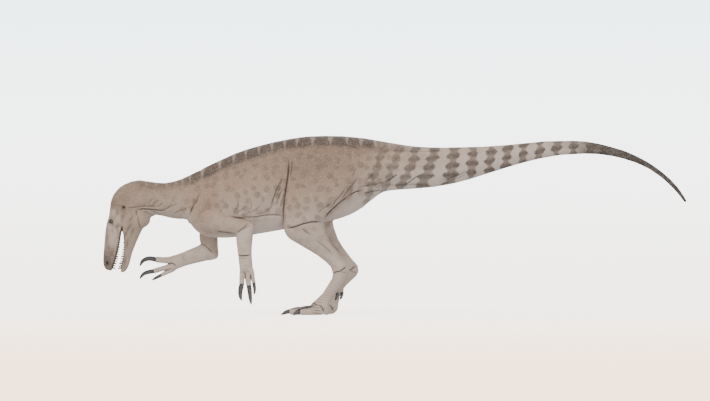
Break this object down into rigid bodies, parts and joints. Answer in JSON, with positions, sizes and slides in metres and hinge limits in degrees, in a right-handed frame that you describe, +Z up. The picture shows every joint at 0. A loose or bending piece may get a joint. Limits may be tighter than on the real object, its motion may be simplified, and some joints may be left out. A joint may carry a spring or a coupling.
{
  "type": "megaraptorid theropod dinosaur",
  "caption": "Living large-clawed theropod dinosaur, standing on its hind legs with its head lowered, jaws open, arms forward and long tail held out level.",
  "frame": {"origin": "on the floor below the middle of the animal's length", "axes": "+Z up, +X towards the tip of the tail, so the head points to -X; the animal's left side faces -Y"},
  "size_m": [5.832, 0.6204, 1.785],
  "materials": {
    "skin": "dull scaly grey-brown skin with darker spots and bands",
    "pale_skin": "dull pale grey-pink scaly skin",
    "claw": "dark satin horn",
    "eye": "wet dark amber",
    "tongue": "moist pink flesh"
  },
  "bodies": {
    "root": {"neck": "skin", "torso": "skin", "tail_base": "skin", "tail_middle": "skin", "tail_end": "skin", "head": "skin", "lower_jaw": "skin", "tongue": "tongue", "eye_left": "eye", "eye_right": "eye", "upper_arm_left": "skin", "forearm_left": "skin", "hand_left": "skin", "claw_hand_left_first": "claw", "claw_hand_left_second": "claw", "claw_hand_left_third": "claw", "upper_arm_right": "skin", "forearm_right": "skin", "hand_right": "skin", "claw_hand_right_first": "claw", "claw_hand_right_second": "claw", "claw_hand_right_third": "claw", "thigh_left": "skin", "shin_left": "skin", "shank_left": "pale_skin", "foot_left": "pale_skin", "claw_foot_left_first": "claw", "claw_foot_left_inner": "claw", "claw_foot_left_middle": "claw", "claw_foot_left_outer": "claw", "thigh_right": "skin", "shin_right": "skin", "shank_right": "pale_skin", "foot_right": "pale_skin", "claw_foot_right_first": "claw", "claw_foot_right_inner": "claw", "claw_foot_right_middle": "claw", "claw_foot_right_outer": "claw"}
  },
  "joints": []
}
